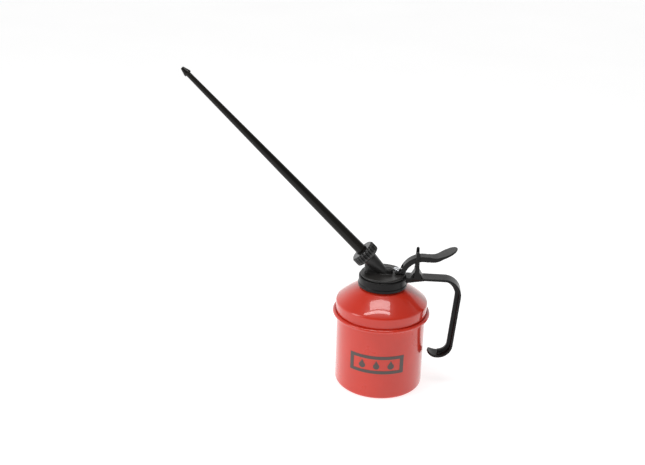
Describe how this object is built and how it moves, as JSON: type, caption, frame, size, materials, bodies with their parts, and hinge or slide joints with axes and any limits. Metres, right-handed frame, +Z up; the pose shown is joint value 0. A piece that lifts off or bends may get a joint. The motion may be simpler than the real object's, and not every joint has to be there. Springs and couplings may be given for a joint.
{
  "type": "oil can",
  "caption": "Thumb-lever oil can: drawn cylindrical can with domed shoulder, screw collar with carrying handle, piston pump and long rigid tapered spout.",
  "frame": {"origin": "centre of the can's flat base, on the can's axis", "axes": "+Z up along the can's axis, handle along +X, spout leaning towards -X in the X-Z plane"},
  "size_m": [0.2625, 0.0932, 0.3021],
  "materials": {
    "red_paint": "gloss",
    "label_print": "satin",
    "rubber": "matt",
    "black_enamel": "satin",
    "zinc_steel": "satin",
    "bright_chrome": "polished",
    "brass": "satin",
    "leather": "matt"
  },
  "bodies": {
    "can": {"can_body": "red_paint", "can_shoulder": "red_paint", "label_frame": "label_print", "label_drops": "label_print"},
    "gasket": {"neck_gasket": "rubber"},
    "slip_ring": {"slip_ring": "zinc_steel"},
    "head": {"collar_handle": "black_enamel", "pump_head": "black_enamel", "head_screws": "zinc_steel", "chamber_plug": "black_enamel", "outlet_spring": "zinc_steel", "pump_barrel": "brass", "rod_packing": "leather", "packing_washer": "zinc_steel", "return_spring": "zinc_steel", "foot_valve": "brass", "ball_cage_pin": "zinc_steel", "pickup_tube": "brass", "strainer": "zinc_steel", "lever_pin": "black_enamel"},
    "lever": {"thumb_lever": "black_enamel"},
    "piston": {"piston_rod": "zinc_steel", "rod_head": "bright_chrome", "piston": "brass", "piston_cup": "leather", "piston_nut": "zinc_steel"},
    "inlet_ball": {"inlet_ball": "zinc_steel"},
    "outlet_ball": {"outlet_ball": "zinc_steel"},
    "spout": {"spout_seal": "rubber", "spout_ferrule": "brass", "spout_tube": "black_enamel", "spout_nozzle": "black_enamel"},
    "nut_washer": {"nut_washer": "zinc_steel"},
    "spout_nut": {"spout_nut": "black_enamel"}
  },
  "joints": [
    {"name": "head_lift", "type": "slide", "parent": "can", "child": "gasket", "axis": [0, 0, 1], "range_m": [0, 0.11]},
    {"name": "head_turn", "type": "hinge", "parent": "gasket", "child": "slip_ring", "pos_m": [0, 0, 0.107], "axis": [0, 0, 1], "range_deg": [0, 540]},
    {"name": "head_rise", "type": "slide", "parent": "slip_ring", "child": "head", "axis": [0, 0, 1], "range_m": [0, 0.0045]},
    {"name": "lever_press", "type": "hinge", "parent": "head", "child": "lever", "pos_m": [0.0319, 0, 0.1302], "axis": [0, 1, 0], "range_deg": [0, 26.9]},
    {"name": "rod_lift", "type": "slide", "parent": "head", "child": "piston", "axis": [0, 0, 1], "range_m": [0, 0.01], "stiffness_N_per_m": 400, "springref_m": -0.01, "deforming": ["return_spring"]},
    {"name": "inlet_ball_lift", "type": "slide", "parent": "head", "child": "inlet_ball", "axis": [0, 0, 1], "range_m": [0, 0.0012]},
    {"name": "outlet_ball_lift", "type": "slide", "parent": "head", "child": "outlet_ball", "axis": [0, 0, 1], "range_m": [0, 0.0012], "stiffness_N_per_m": 40, "springref_m": -0.001, "deforming": ["outlet_spring"]},
    {"name": "spout_pull", "type": "slide", "parent": "head", "child": "spout", "axis": [-0.7071, 0, 0.7071], "range_m": [0, 0.03]},
    {"name": "nut_turn", "type": "hinge", "parent": "spout", "child": "nut_washer", "pos_m": [-0.01972, 0, 0.13402], "axis": [-0.7071, 0, 0.7071], "range_deg": [0, 1080]},
    {"name": "nut_rise", "type": "slide", "parent": "nut_washer", "child": "spout_nut", "axis": [-0.7071, 0, 0.7071], "range_m": [0, 0.0045]}
  ],
  "couplings": [
    {"joint": "head_turn", "follows": "head_rise", "rad_per_m": 2094.4},
    {"joint": "lever_press", "follows": "rod_lift", "rad_per_m": 46.949},
    {"joint": "nut_rise", "follows": "nut_turn", "m_per_rad": 0.0002387}
  ]
}
